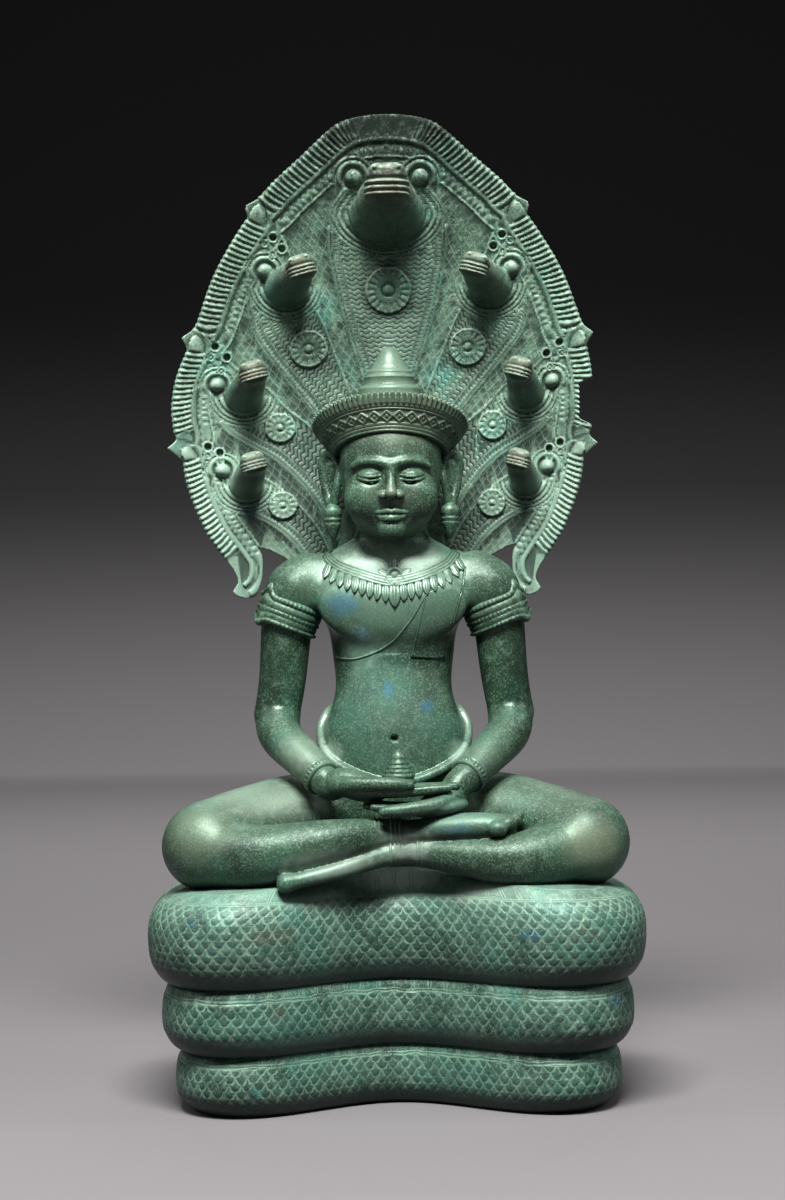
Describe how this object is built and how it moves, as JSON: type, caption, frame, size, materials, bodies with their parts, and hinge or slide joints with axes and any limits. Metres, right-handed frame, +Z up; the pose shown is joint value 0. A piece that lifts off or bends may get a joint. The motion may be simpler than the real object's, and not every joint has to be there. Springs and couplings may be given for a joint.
{
  "type": "naga buddha statue",
  "caption": "Seated bronze figure in meditation on a tiered serpent coil, sheltered by a spread serpent hood with heads, on its own plinth.",
  "frame": {"origin": "middle of the coils' flat underside", "axes": "+Z up; the figure looks along -Y; +X to a viewer's right in front of it"},
  "size_m": [0.289, 0.1713, 0.5829],
  "materials": {
    "coil_bronze": "cast bronze under a mottled green patina, engraved scales, worn and satin on the swells",
    "hood_bronze": "cast bronze under a grey-green patina, engraved, satin",
    "figure_bronze": "cast bronze under a deep green patina, burnished on knees, arms and face"
  },
  "bodies": {
    "root": {"naga_coils": "coil_bronze", "naga_hood": "hood_bronze", "seated_figure": "figure_bronze"}
  },
  "joints": []
}
